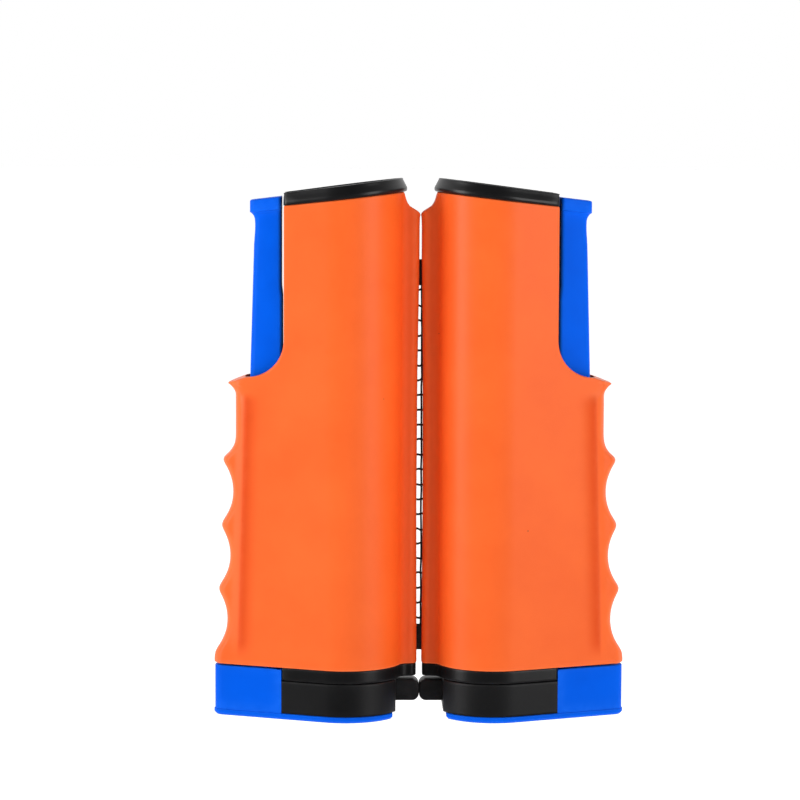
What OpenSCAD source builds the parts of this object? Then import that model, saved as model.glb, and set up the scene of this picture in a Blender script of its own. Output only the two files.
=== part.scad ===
// Retractable table tennis net: two clamp posts that stand side by side with the net wound in.
// X runs from the left post to the right one, Y from front to back and Z up from the floor.
// Each post is drawn on the +X side of the plane between them, and the left one is its mirror image.

/* [Post] */
// Distance from the plane between the posts to the near side of the round barrel
barrel_near_x = 6.3; // [6:0.1:7.5]
// Radius of the round barrel
barrel_r = 21.5; // [21:0.1:22.5]
// Radius of the outer end of the base, and of the shells' rounded end over it
end_r = 5; // [4.5:0.1:5.5]
// Rise of the shells' top over the net, at the upright wall beside the slider
head_room = 20.1; // [18:0.1:22]
// Slope of the slanted top, in degrees
top_slope = 6.5; // [5:0.1:8]
// Wall thickness of the shells
wall = 2.2; // [1.8:0.1:2.5]
// Wall between the screw heads' pockets and the slider's well
boss_wall = 1.7; // [1.2:0.1:2.5]
// Thickness of the shells' rounded end behind the slider's well
end_wall = 2.9; // [2.4:0.1:3.5]
// Radius of the throat where the slider goes into the shells
throat_r = 14; // [12:0.5:15]
// Fall of the shelf from the throat to the lip, in degrees
shelf_fall = 19.6; // [15:0.1:22]
// Depth of the slanted cap
cap_t = 4.7; // [4:0.1:6]
// Reach of the cap past the shells
cap_lip = 0.8; // [0.4:0.1:1.2]
// Depth of the cap's skirt inside the shells
skirt_h = 4; // [3:0.1:5]

/* [Net neck] */
// Distance from the plane between the posts to the tip of the neck
neck_tip_x = 0.8; // [0.6:0.1:1.5]
// Width of the neck
neck_w = 8.8; // [8:0.1:10]
// Radius of the neck's two upright corners
neck_corner_r = 2.8; // [2:0.1:3]
// Radius of the fillet between neck and barrel
neck_fillet_r = 3.8; // [3.2:0.1:3.9]
// Width of the slot that the net runs through
slot_w = 2.4; // [2.2:0.1:3]
// Radius of the scoop in the neck's top
scoop_r = 4.2; // [3.5:0.1:5]
// Width of the bevel at the tip of the neck's top
tip_bevel_w = 1.2; // [0.8:0.1:1.6]
// Height of that bevel
tip_bevel_h = 2.5; // [1.5:0.1:3]
// Drop from the shells' top to the top of the neck
neck_drop = 6.4; // [5:0.1:7]

/* [Finger grip] */
// Thickness of the grip's fin
fin_t = 6; // [5:0.1:7]
// Radius of the hollow fillets between the fin and the shells' rounded end
fin_fillet_r = 4; // [3:0.1:5]
// Reach of the base past the shells' rounded end
base_reach = 9; // [8:0.1:10]
// Height of the topmost ridge above the shells' underside
ridge_h = 76.8; // [75:0.1:79]
// Height of the lowest ridge above the shells' underside
lowest_ridge_h = 3.3; // [2.5:0.1:4.5]
// Reach of the topmost ridge past the shells' rounded end
ridge_reach = 4.9; // [4.5:0.1:5.5]
// Depth of each finger hollow
finger_depth = 3.6; // [3:0.1:3.8]
// Number of finger hollows
fingers = 3; // [2:1:3]
// Lean of the row of ridges, in degrees
grip_lean = 2.7; // [2:0.1:3]
// Reach of the fin's straight edge past the shells' rounded end
edge_reach = 0.9; // [0.5:0.1:1.5]
// Height from the topmost ridge to the straight edge over it
ridge_rise = 9.2; // [8:0.1:10]
// Radius of the hollow right under the lip
lip_r = 4.5; // [4:0.1:5]
// Height of the solid base that the fin runs into
base_h = 7.3; // [7:0.1:9]

/* [Clamp] */
// Thickness of the slider's sole
sole_t = 2; // [1.8:0.1:3]
// Width of the bevel under the sole
sole_bevel = 0.8; // [0.4:0.1:1.2]
// Height of the lower jaw pad
pad_h = 12.6; // [11:0.1:14]
// Gap between the closed jaws
jaw_gap = 0.3; // [0.2:0.1:0.6]
// Thickness of the upper jaw plate
plate_t = 4.8; // [4:0.1:6]
// Distance from the plane between the posts to the inner end of the lower jaw pad
pad_end_x = 8.6; // [8:0.1:10]
// Set-back of the sole from the pad's inner end
sole_setback = 1.5; // [1:0.1:3]
// Set-back of the black jaw pieces from the shells' outside
jaw_inset = 0.3; // [0.1:0.1:0.6]
// Gap between the tab's tip and the plane between the posts
tab_gap = 0.2; // [0.2:0.1:0.6]
// Height of the tab
tab_h = 7.8; // [6:0.1:9]
// Step from the pad's face down to the tab
tab_step = 1; // [0.6:0.1:1.5]
// Radius of the tab's rounded nose
nose_r = 3; // [2:0.1:3.5]
// Radius of the studs that hold the upper jaw plate
stud_r = 2; // [1.6:0.1:2.2]
// Distance from the barrel's axis in to the inner stud
stud_near = 11; // [10:0.1:12]
// Distance from the barrel's axis out to the outer stud
stud_far = 13; // [12:0.1:16]
// Furthest opening of the jaws
jaw_opening = 50; // [46:0.5:52]
// Height of the throat's start over the thumb flange when the jaws are fully open
throat_over = 1.2; // [0.5:0.1:2]

/* [Slider] */
// Gap between the slider and the upright wall
slider_gap = 0.9; // [0.7:0.1:1.1]
// Clearance between the slider and the shells' walls
slider_clear = 0.6; // [0.4:0.1:0.8]
// Gap between the slider's outer face and the end of its well
end_gap = 1.3; // [1:0.1:1.6]
// Radius of the slider's outer corners
slider_corner_r = 3; // [2.5:0.1:3.5]
// Taper of the slider's outer face above the shelf
slider_taper = 1.5; // [1:0.1:2]
// Wall thickness of the slider's two sides
slider_wall = 2.2; // [1.8:0.1:2.4]
// Wall thickness of the slider's outer face
slider_face_t = 2.5; // [2:0.1:3]
// Rise of the thumb flange's top above the shells' outer edge
flange_rise = 3.4; // [2:0.1:5]
// Thickness of the thumb flange
flange_t = 4.5; // [4:0.1:6]
// Reach of the thumb flange past the slider's sides
flange_reach = 1.5; // [1:0.1:1.8]
// Reach of the thumb flange past the slider's outer face
flange_out = 1.9; // [1.5:0.1:2.5]
// Radius of the pegs that hold the lower jaw pad
peg_r = 2.5; // [2:0.1:3]
// Height of those pegs
peg_h = 8; // [6:0.1:9]
// Distance from the barrel's axis in to the inner peg
peg_near = 8; // [7:0.1:10]
// Distance from the barrel's axis out to the outer peg
peg_far = 12; // [10:0.1:14]

/* [Clamp spring] */
// Radius of the spring's wire
wire_r = 0.5; // [0.4:0.05:0.6]
// Mean radius of the spring
coil_r = 3.6; // [3.4:0.1:3.8]
// Number of turns
coil_turns = 14; // [12:1:16]
// Gap between the spring and the slider's pocket
spring_gap = 0.85; // [0.6:0.05:1]
// Length that the spring could still give when the jaws are fully open
coil_spare = 22.6; // [18:0.1:25]
// Height of the spring's seat above the shells' underside
seat_h = 6.8; // [6.5:0.1:8]
// Thickness of the spring's seat
seat_t = 4.5; // [4:0.1:5]
// Gap between that seat and the slider when the jaws are shut
seat_play = 2.5; // [2:0.1:3]
// Thickness of the slider's shoulder that the spring pushes up
shoulder_t = 3; // [2.5:0.1:4]
// Height of the guides in the spring's two ends
guide_h = 4; // [3:0.1:5]

/* [Screws] */
// Radius of the screws
screw_r = 1.25; // [1.1:0.05:1.5]
// Radius of the screw heads
head_r = 2.2; // [2:0.05:2.3]
// Thickness of the screw heads
head_t = 1.5; // [1.2:0.1:1.8]
// Radius of the bosses
boss_r = 3.2; // [3:0.05:3.4]
// Gap between the bosses and the wound net
boss_gap = 1; // [0.8:0.1:1.5]
// Height of the lowest boss above the shells' underside
boss_h = 20.3; // [19:0.1:22]
// Drop from the shells' top to the highest boss
boss_drop = 14.6; // [13:0.1:16]
// Number of bosses
bosses = 3; // [2:1:4]
// Distance from the base's outer end to the screw in it
base_screw_in = 7.5; // [7:0.1:8.5]
// Distance from the neck's tip to the screw in it
neck_screw_in = 3.6; // [3.4:0.1:4]
// Rise of that screw above the bulkhead
neck_screw_rise = 6; // [5.5:0.1:7]
// Width of the cross in the screw heads
cross_w = 0.6; // [0.4:0.1:0.8]

/* [Net roller] */
// Outer radius of the roller's tube
tube_r = 7; // [6.5:0.1:7.5]
// Wall thickness of the tube
tube_wall = 2; // [1.5:0.1:2.4]
// Gap between the wound net and the barrel's wall
chamber_gap = 4.3; // [3.8:0.1:5.5]
// Radius of the roller's shaft
shaft_r = 1.5; // [1.4:0.05:1.8]
// Radius of the rod that anchors the net
rod_r = 1.6; // [1.4:0.05:1.8]
// Radius of the bushes that hold the shaft
bush_r = 4; // [3.5:0.1:4.5]
// Thickness of the collars on the bushes
collar_t = 1.2; // [1:0.1:1.5]
// Thickness of the flanges on the tube's plugs
plug_collar_t = 1; // [0.8:0.1:1.4]
// Depth of the plugs in the tube
plug_depth = 5.5; // [4.5:0.1:7]
// Mean radius of the return spring
return_coil_r = 3; // [2.9:0.1:3.2]
// Radius of the return spring's wire
return_wire_r = 0.45; // [0.4:0.05:0.5]
// Number of turns of the return spring
return_turns = 15; // [12:1:18]

/* [Net] */
// Height of the net
net_h = 147.9; // [145:0.1:149]
// Width of the two tapes
tape_w = 9.8; // [8:0.1:12]
// Thickness of the tapes
tape_t = 0.9; // [0.6:0.1:1]
// Thickness of the net's cords
cord_t = 0.6; // [0.4:0.1:0.8]
// Number of level cords between the tapes
level_cords = 21; // [18:1:24]

/* [Clearances] */
// Clearance of a screw, peg or bush in its hole
fit_gap = 0.05; // [0.03:0.01:0.08]
// Clearance between parts that are clipped together
seat_gap = 0.1; // [0.1:0.05:0.2]
// Gap between parts that move past each other
move_gap = 0.3; // [0.25:0.05:0.35]

/* [Hidden] */
$fn = 96;

ORANGE = "#fd6c33";
BLUE = "#0b5de3";
BLACK = "#232326";
STEEL = "#b9bcc0";
WHITE = "#e8e8e4";

// Distances from the plane between the posts, outwards from the barrel to the base's end
barrel_x = barrel_near_x + barrel_r;
wound_r = barrel_r - wall - chamber_gap;
boss_x = barrel_x + wound_r + boss_gap + boss_r;
upright_x = boss_x + head_r + seat_gap + boss_wall;
window_x = upright_x - wall;
slider_x = upright_x + slider_gap;
spring_x = slider_x + spring_gap + coil_r + wire_r;
pocket_end_x = spring_x + coil_r + wire_r + spring_gap;
slider_end_x = pocket_end_x + slider_face_t;
well_end_x = slider_end_x + end_gap;
body_end_x = well_end_x + end_wall;
ridge_x = body_end_x + ridge_reach;
edge_x = body_end_x + edge_reach;
base_end_x = body_end_x + base_reach;
end_x = base_end_x - end_r;
taper = asin((barrel_r - end_r) / (end_x - barrel_x));
pad_z = sole_t + pad_h;
plate_z = pad_z + jaw_gap;
shell_z = plate_z + plate_t;
floor_z = shell_z + wall;
net_z = floor_z + collar_t + move_gap + plug_collar_t;
net_top_z = net_z + net_h;
shell_h = net_top_z + head_room - shell_z;
slider_top_z = shell_z + shell_h + flange_rise - flange_t;
throat_z = slider_top_z - jaw_opening + throat_over;
shelf_z = throat_z - throat_r;
throat_x = upright_x + throat_r;
neck_half = neck_w / 2;
neck_top_z = top_z(neck_tip_x) - neck_drop;
body_top_z = top_z(0);

tube_top_z = net_top_z + collar_t;
bulkhead_z = tube_top_z + plug_collar_t + move_gap + collar_t;
neck_screw_z = bulkhead_z + neck_screw_rise;
neck_screw_x = neck_tip_x + neck_screw_in;
base_screw_x = base_end_x - base_screw_in;
base_screw_z = shell_z + base_h / 2;
boss_pitch = (shell_h - boss_h - boss_drop) / (bosses - 1);
finger_pitch = (ridge_h - lowest_ridge_h) / fingers;

slider_inset = wall + slider_clear;
seat_z = shell_z + seat_h;
seat_top_z = seat_z + seat_t;
spring_len = jaw_opening + coil_turns * 2 * wire_r + coil_spare;
shoulder_z = seat_top_z + spring_len + 2 * seat_gap;
guide_r = coil_r - wire_r - 0.5;
seat_half = coil_r + wire_r - 0.2;

rod_x = barrel_near_x + wall + rod_r + seat_gap + tape_t + move_gap + 0.1;
bend = [-(barrel_near_x + wall + 1), 0];
wrap_r = wound_r + cord_t + 0.2;
wrap_angle = acos(wrap_r / (barrel_x + bend.x));
wrap = [wrap_r * cos(wrap_angle) - barrel_x, -wrap_r * sin(wrap_angle)];
tube_bore_r = tube_r - tube_wall;
shaft_inset = 0.8;
FAR = 300;
// How far a cut runs past the face that it opens
over = 1;
// How far a fillet's arc runs into its neighbours, so that faces cross and don't only touch
sink = 0.03;

// Places of the studs in the shells' floor, and of the pegs in the lower pad
studs_x = [barrel_x - stud_near, barrel_x + stud_far];
pegs_x = [barrel_x - peg_near, barrel_x + peg_far];

// Depths of the screw heads' seats and of the screws' tips
long_head_y = half_width(boss_x, 0) - head_t - 0.8;
long_tip_y = -half_width(boss_x, 0) + wall + 3;
short_head_y = neck_half - head_t - 0.5;
short_tip_y = -neck_half + 1.2;

// Height of the shells' slanted top
function top_z(x) = shell_z + shell_h + (upright_x - x) * tan(top_slope);

// Half the post's width at x, on its straight sides, inset from the outside
function half_width(x, inset) =
    (barrel_r - inset - (x - barrel_x) * sin(taper)) / cos(taper);

// Distance to the line of the ridges at a height, and the height of a finger hollow
function ridge_line(z) = ridge_x + (shell_z + ridge_h - z) * tan(grip_lean);
function hollow_z(i) = shell_z + ridge_h - (i + 0.5) * finger_pitch;

// Plan of the whole post without its neck: a round barrel that tapers to a small round end
module post_plan(inset = 0) {
    big = barrel_r - inset;
    small = end_r - inset;
    translate([barrel_x, 0]) circle(big);
    translate([end_x, 0]) circle(small);
    polygon([
        for (s = [1, -1]) each let (
            near = [barrel_x + big * sin(taper), s * big * cos(taper)],
            away = [end_x + small * sin(taper), s * small * cos(taper)]
        ) s > 0 ? [near, away] : [away, near]
    ]);
}

// Plan between two distances on the straight sides, with rounded outer corners
module taper_plan(from_x, to_x, inset, corner_r) {
    tip = half_width(to_x, inset);
    root = half_width(from_x, inset);
    intersection() {
        polygon([[from_x, root], [to_x, tip], [to_x, -tip], [from_x, -root]]);
        rounded_end(to_x, inset, corner_r);
    }
}

// Middle of the round corner between an end face and the straight side
function corner_at(to_x, inset, corner_r) =
    [to_x - corner_r, half_width(to_x - corner_r, inset + corner_r)];

// Everything short of an end face whose corners with the straight sides are rounded
module rounded_end(to_x, inset, corner_r) {
    corner = corner_at(to_x, inset, corner_r);
    translate([0, -FAR]) square([corner.x + corner_r * sin(taper), 2 * FAR]);
    translate([0, -corner.y]) square([to_x, 2 * corner.y]);
    for (s = [-1, 1]) translate([corner.x, s * corner.y]) circle(corner_r + sink);
}

// Plan of the shells over their base: a rounded end that runs into the grip's fin in two fillets
module body_plan() {
    corner = corner_at(body_end_x, 0, end_r);
    fillet_y = fin_t / 2 + fin_fillet_r;
    fillet_x = corner.x + sqrt(pow(end_r + fin_fillet_r, 2) - pow(fillet_y - corner.y, 2));
    touch = end_r / (end_r + fin_fillet_r);
    intersection() {
        post_plan();
        rounded_end(body_end_x, 0, end_r);
    }
    translate([corner.x, -fin_t / 2]) square([base_end_x - corner.x, fin_t]);
    for (s = [-1, 1]) difference() {
        polygon([
            [corner.x, 0], [fillet_x, 0], [fillet_x, s * fin_t / 2],
            [corner.x + (fillet_x - corner.x) * touch, s * (corner.y + (fillet_y - corner.y) * touch)]
        ]);
        translate([fillet_x, s * fillet_y]) circle(fin_fillet_r + sink);
    }
}

// Plan of a strip of the post between two distances
module plan_between(from_x, to_x, inset = 0) {
    intersection() {
        post_plan(inset);
        translate([from_x, -FAR]) square([to_x - from_x, 2 * FAR]);
    }
}

// Plan of the neck: rounded tip, and a fillet on each side where it leaves the barrel
module neck_plan(inset = 0) {
    half = neck_half - inset;
    reach = barrel_r - inset + neck_fillet_r;
    fillet_x = barrel_x - sqrt(reach * reach - pow(half + neck_fillet_r, 2));
    touch = (barrel_r - inset) / reach;
    touch_x = barrel_x + (fillet_x - barrel_x) * touch;
    corner_x = neck_tip_x + inset + neck_corner_r;
    translate([neck_tip_x + inset, neck_corner_r - half])
        square([barrel_x - neck_tip_x, 2 * (half - neck_corner_r)]);
    translate([corner_x, -half]) square([barrel_x - corner_x, 2 * half]);
    for (s = [-1, 1]) {
        translate([corner_x, s * (half - neck_corner_r)]) circle(neck_corner_r);
        difference() {
            polygon([
                [fillet_x, 0], [fillet_x, s * half],
                [touch_x, s * (half + neck_fillet_r) * touch], [barrel_x, 0]
            ]);
            translate([fillet_x, s * (half + neck_fillet_r)]) circle(neck_fillet_r + sink);
        }
    }
}

// A flat outline in X and Z, carried through in Y
module through(thickness = 2 * FAR) {
    rotate([90, 0, 0]) linear_extrude(thickness, center = true) children();
}

// A rod along Y between two depths
module along_y(x, z, from_y, to_y, r) {
    translate([x, to_y, z]) rotate([90, 0, 0]) cylinder(r = r, h = to_y - from_y);
}

// A layer of a plan between two heights
module layer(from_z, to_z) {
    translate([0, 0, from_z]) linear_extrude(to_z - from_z) children();
}

// The band under the slanted top between two depths below it
module slanted_band(low, high) {
    through() polygon([
        [-FAR, top_z(-FAR) + low], [FAR, top_z(FAR) + low],
        [FAR, top_z(FAR) + high], [-FAR, top_z(-FAR) + high]
    ]);
}

// What the throat, shelf, lip and finger hollows take away, seen from the front
module grip_cuts() {
    step = ridge_x - edge_x;
    top_hollow_r = (pow(step, 2) + pow(ridge_rise, 2)) / (2 * step);
    lip_x = edge_x + lip_r;
    lip_z = shelf_z - (lip_x - throat_x) * tan(shelf_fall) - lip_r + 0.6;
    foot_z = shell_z + ridge_h + ridge_rise;
    finger_r = (pow(finger_pitch / 2, 2) + pow(finger_depth, 2)) / (2 * finger_depth);
    translate([throat_x, throat_z]) circle(throat_r + sink);
    polygon([
        [upright_x, throat_z], [upright_x, FAR], [FAR, FAR],
        [FAR, shelf_z - (FAR - throat_x) * tan(shelf_fall)],
        [throat_x, shelf_z], [throat_x, throat_z]
    ]);
    translate([lip_x, lip_z]) circle(lip_r);
    translate([edge_x, foot_z]) square([FAR, lip_z - foot_z]);
    translate([edge_x + top_hollow_r, foot_z]) circle(top_hollow_r);
    for (i = [0 : fingers - 1])
        translate([ridge_line(hollow_z(i)) - finger_depth + finger_r, hollow_z(i)]) circle(finger_r);
}

// Outside of the barrel and grip, as one solid
module body_form() {
    difference() {
        union() {
            layer(shell_z, shell_z + base_h) post_plan();
            layer(shell_z + base_h, body_top_z) body_plan();
        }
        slanted_band(0, FAR);
        through() grip_cuts();
    }
}

// Outside of the neck, with its scooped top and bevelled tip
module neck_form() {
    difference() {
        layer(shell_z, body_top_z) neck_plan();
        through() {
            translate([neck_tip_x + 1, neck_top_z + scoop_r]) circle(scoop_r);
            translate([-scoop_r, neck_top_z + scoop_r]) square([neck_tip_x + 1 + 2 * scoop_r, FAR]);
            polygon([
                [neck_tip_x - tip_bevel_w, neck_top_z - 2 * tip_bevel_h],
                [neck_tip_x + 2 * tip_bevel_w, neck_top_z + tip_bevel_h],
                [neck_tip_x - tip_bevel_w, neck_top_z + 2 * tip_bevel_h]
            ]);
        }
        slanted_band(0, FAR);
    }
}

// Screw bosses along Y, one over the other
module at_bosses() {
    for (i = [0 : bosses - 1]) translate([boss_x, 0, shell_z + boss_h + i * boss_pitch]) children();
}

// Where the two short screws go: through the base and through the top of the neck
module at_edge_screws() {
    translate([base_screw_x, 0, base_screw_z]) children();
    translate([neck_screw_x, 0, neck_screw_z]) children();
}

// A screw hole from the back, with the pocket for its head
module screw_hole(head_y, tip_y) {
    along_y(0, 0, tip_y, FAR, screw_r + fit_gap);
    along_y(0, 0, head_y, FAR, head_r + seat_gap);
}

// A screw that lies along Y with its head at the back
module screw(head_y, tip_y) {
    arm = head_r * 0.7;
    along_y(0, 0, tip_y + seat_gap, head_y + seat_gap, screw_r);
    difference() {
        along_y(0, 0, head_y + fit_gap, head_y + fit_gap + head_t, head_r);
        for (turn = [0, 90]) rotate([0, turn, 0])
            translate([-arm, head_y + head_t / 2, -cross_w / 2]) cube([2 * arm, head_t, cross_w]);
    }
}

// The hollow inside: the barrel's chamber and the slider's well, with the wall between them
module hollow_form(holds_roller) {
    difference() {
        layer(floor_z, body_top_z) plan_between(-FAR, window_x, wall);
        at_bosses() along_y(0, 0, -barrel_r, barrel_r, boss_r);
        layer(bulkhead_z, bulkhead_z + wall) plan_between(-FAR, FAR);
    }
    layer(shell_z - over, body_top_z)
        taper_plan(upright_x, well_end_x, wall, slider_corner_r + slider_clear);
    translate([0, -slot_w / 2, floor_z]) cube([barrel_x, slot_w, bulkhead_z - floor_z]);
    translate([window_x - over, -seat_half - seat_gap, seat_z - seat_gap])
        cube([wall + 2 * over, 2 * (seat_half + seat_gap), seat_t + 2 * seat_gap]);
    for (x = studs_x) hole_up(x, shell_z, stud_r);
    if (holds_roller) for (z = [shell_z, bulkhead_z]) hole_up(barrel_x, z, bush_r);
    else hole_up(rod_x, shell_z, rod_r, bulkhead_z + wall - shell_z);
    at_bosses() screw_hole(long_head_y, long_tip_y);
    at_edge_screws() screw_hole(short_head_y, short_tip_y);
}

// An upright hole through a floor that starts at z
module hole_up(x, z, r, depth = wall) {
    translate([x, 0, z - over]) cylinder(r = r + fit_gap, h = depth + 2 * over);
}

module shell_half(side, holds_roller) {
    color(ORANGE) intersection() {
        difference() {
            union() {
                body_form();
                neck_form();
            }
            hollow_form(holds_roller);
        }
        translate([0, side > 0 ? 0 : -FAR, 0]) cube([FAR, FAR, FAR]);
    }
}

module front_shell(holds_roller) {
    shell_half(-1, holds_roller);
}

module back_shell(holds_roller) {
    shell_half(1, holds_roller);
}

// Slanted cap with a skirt that clips inside the shells
module top_cap() {
    skirt_inset = wall + seat_gap;
    color(BLACK) {
        intersection() {
            layer(shell_z, FAR) plan_between(-FAR, upright_x, -cap_lip);
            slanted_band(0, cap_t);
        }
        intersection() {
            layer(shell_z, FAR) difference() {
                plan_between(-FAR, window_x - seat_gap, skirt_inset);
                plan_between(-FAR, window_x - seat_gap - wall, skirt_inset + wall);
            }
            slanted_band(-skirt_h, 0);
        }
    }
}

// Plate under the shells that rests on the table, held by two studs
module upper_jaw_plate() {
    color(BLACK) {
        layer(plate_z, shell_z) {
            plan_between(-FAR, slider_x - move_gap, jaw_inset);
            neck_plan(jaw_inset);
        }
        for (x = studs_x)
            translate([x, 0, plate_z]) cylinder(r = stud_r, h = plate_t + wall - 0.2);
    }
}

// Thumb flange, column, foot block and sole in one moulding
module clamp_slider() {
    foot_top_z = shell_z - move_gap;
    sole_end_x = pad_end_x + sole_setback;
    face_x = slider_end_x - slider_taper;
    color(BLUE) {
        difference() {
            union() {
                layer(0, sole_bevel) plan_between(sole_end_x + sole_bevel, FAR, sole_bevel);
                layer(sole_bevel, sole_t) plan_between(sole_end_x, FAR);
                layer(0, foot_top_z) plan_between(slider_x, FAR, sole_bevel);
                layer(sole_bevel, foot_top_z) plan_between(slider_x, FAR);
                layer(sole_t, slider_top_z + flange_t) slider_column_plan();
            }
            through() polygon([
                [slider_end_x, shelf_z], [face_x, slider_top_z],
                [face_x, FAR], [base_end_x, FAR], [base_end_x, shelf_z]
            ]);
            slanted_band(flange_rise - flange_t, FAR);
            slider_pocket(seat_z - seat_play, shoulder_z);
            slider_pocket(shoulder_z + shoulder_t, slider_top_z - shoulder_t);
        }
        intersection() {
            layer(shelf_z, FAR)
                taper_plan(slider_x, face_x + flange_out, slider_inset - flange_reach, slider_corner_r);
            slanted_band(flange_rise - flange_t, flange_rise);
        }
        translate([spring_x, 0, shoulder_z - guide_h]) cylinder(r = guide_r, h = guide_h + over);
        for (x = pegs_x)
            translate([x, 0, sole_bevel]) cylinder(r = peg_r, h = peg_h + sole_t - sole_bevel);
    }
}

module slider_column_plan() {
    taper_plan(slider_x, slider_end_x, slider_inset, slider_corner_r);
}

// A pocket in the column, open towards the upright wall
module slider_pocket(from_z, to_z) {
    layer(from_z, to_z) taper_plan(slider_x - over, pocket_end_x, slider_inset + slider_wall, 1);
}

// Block on the sole that presses on the table from below, with a rounded tab at its inner end
module lower_jaw_pad() {
    tab_top_z = pad_z - tab_step;
    tab_z = tab_top_z - tab_h;
    tip_x = tab_gap;
    color(BLACK) difference() {
        union() {
            layer(sole_t, pad_z) plan_between(pad_end_x, slider_x - seat_gap, jaw_inset);
            through(neck_w) {
                translate([tip_x + nose_r, tab_z]) square([pad_end_x + over - tip_x - nose_r, tab_h]);
                translate([tip_x, tab_z + nose_r]) square([nose_r, tab_h - 2 * nose_r]);
                for (z = [tab_z + nose_r, tab_top_z - nose_r]) translate([tip_x + nose_r, z]) circle(nose_r);
            }
        }
        for (x = pegs_x)
            translate([x, 0, sole_t - over]) cylinder(r = peg_r + fit_gap, h = peg_h + over + seat_gap);
    }
}

// Peg that the clamp spring stands on: a tongue through the upright wall, with a stop behind it
module spring_seat() {
    stop_t = 3.2;
    stop_rim = 2;
    root_x = window_x - seat_gap - over;
    color(BLACK) {
        translate([window_x - seat_gap - stop_t, -seat_half - stop_rim, seat_z - stop_rim])
            cube([stop_t, 2 * (seat_half + stop_rim), seat_t + 2 * stop_rim]);
        translate([root_x, -seat_half, seat_z])
            cube([pocket_end_x - spring_gap - root_x, 2 * seat_half, seat_t]);
        translate([spring_x, 0, seat_top_z - over]) cylinder(r = guide_r, h = guide_h + over);
    }
}

// A coil of wire round the Z axis, between two heights
module coil(mean_r, wire, from_z, to_z, turns, steps = 12, sides = 6) {
    rise = (to_z - from_z - 2 * wire) / (turns * steps);
    rings = turns * steps + 1;
    points = [
        for (i = [0 : rings - 1], k = [0 : sides - 1])
            let (a = i * 360 / steps, b = k * 360 / sides, r = mean_r + wire * cos(b))
            [r * cos(a), r * sin(a), from_z + wire + i * rise + wire * sin(b)]
    ];
    skin = [
        for (i = [0 : rings - 2], k = [0 : sides - 1])
            let (n = (k + 1) % sides, a = i * sides, b = a + sides)
            each [[a + k, b + k, b + n], [a + k, b + n, a + n]]
    ];
    first = [for (k = [0 : sides - 1]) k];
    last = [for (k = [sides - 1 : -1 : 0]) (rings - 1) * sides + k];
    polyhedron(points, concat([first, last], skin));
}

module clamp_spring() {
    color(STEEL) translate([spring_x, 0, 0])
        coil(coil_r, wire_r, seat_top_z + seat_gap, shoulder_z - seat_gap, coil_turns);
}

module shell_screws() {
    color(STEEL) at_bosses() screw(long_head_y, long_tip_y);
}

module edge_screws() {
    color(STEEL) at_edge_screws() screw(short_head_y, short_tip_y);
}

// Things on the roller's axis, in the left post
module on_roller() {
    translate([-barrel_x, 0, 0]) children();
}

module roller_shaft() {
    color(STEEL) on_roller() translate([0, 0, shell_z + shaft_inset])
        cylinder(r = shaft_r, h = bulkhead_z + wall - shell_z - 2 * shaft_inset);
}

// Bush in the shells' floor or bulkhead: a spigot, a collar, and a blind hole for the shaft
module shaft_bush(spigot_z, collar_z, blind_z) {
    bore_h = wall + collar_t - shaft_inset + seat_gap;
    color(WHITE) on_roller() difference() {
        union() {
            translate([0, 0, spigot_z]) cylinder(r = bush_r, h = wall - 0.2);
            translate([0, 0, collar_z]) cylinder(r = bush_r + 2, h = collar_t);
        }
        translate([0, 0, blind_z]) cylinder(r = shaft_r + fit_gap, h = bore_h + over);
    }
}

module lower_shaft_bush() {
    shaft_bush(shell_z + 0.2, floor_z, shell_z + shaft_inset - seat_gap);
}

module upper_shaft_bush() {
    shaft_bush(bulkhead_z, bulkhead_z - collar_t, bulkhead_z - collar_t - over);
}

module roller_tube() {
    color(WHITE) on_roller() difference() {
        translate([0, 0, net_z]) cylinder(r = tube_r, h = tube_top_z - net_z);
        translate([0, 0, net_z - over]) cylinder(r = tube_bore_r, h = FAR);
    }
}

// Plug in the end of the tube, which turns on the shaft
module roller_plug(collar_z, from_z, to_z) {
    color(BLACK) on_roller() difference() {
        union() {
            translate([0, 0, collar_z]) cylinder(r = tube_r - 0.2, h = plug_collar_t);
            translate([0, 0, from_z]) cylinder(r = tube_bore_r - fit_gap, h = to_z - from_z);
        }
        cylinder(r = shaft_r + fit_gap, h = FAR);
    }
}

module lower_roller_plug() {
    roller_plug(net_z - plug_collar_t, net_z - plug_collar_t, net_z + plug_depth);
}

module upper_roller_plug() {
    roller_plug(tube_top_z, tube_top_z - plug_depth, tube_top_z + plug_collar_t);
}

module return_spring() {
    color(STEEL) on_roller()
        coil(return_coil_r, return_wire_r, net_z + plug_depth + seat_gap,
            tube_top_z - plug_depth - seat_gap, return_turns, 12, 5);
}

module wound_net() {
    color(BLACK) on_roller() difference() {
        translate([0, 0, net_z]) cylinder(r = wound_r, h = net_h);
        translate([0, 0, net_z - over]) cylinder(r = tube_r + fit_gap, h = net_h + 2 * over);
    }
}

// Plan of the net from the roller, through both necks and round the rod
module net_plan(thickness) {
    rod_loop_r = rod_r + seat_gap;
    strip(wrap, bend, thickness);
    strip(bend, [rod_x - rod_loop_r, 0], thickness);
    translate([rod_x, 0]) difference() {
        circle(rod_loop_r + thickness);
        circle(rod_loop_r);
    }
}

// Straight strip between two points of a plan
module strip(from, to, thickness) {
    run = to - from;
    translate(from) rotate(atan2(run.y, run.x))
        translate([0, -thickness / 2]) square([norm(run), thickness]);
}

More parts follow.
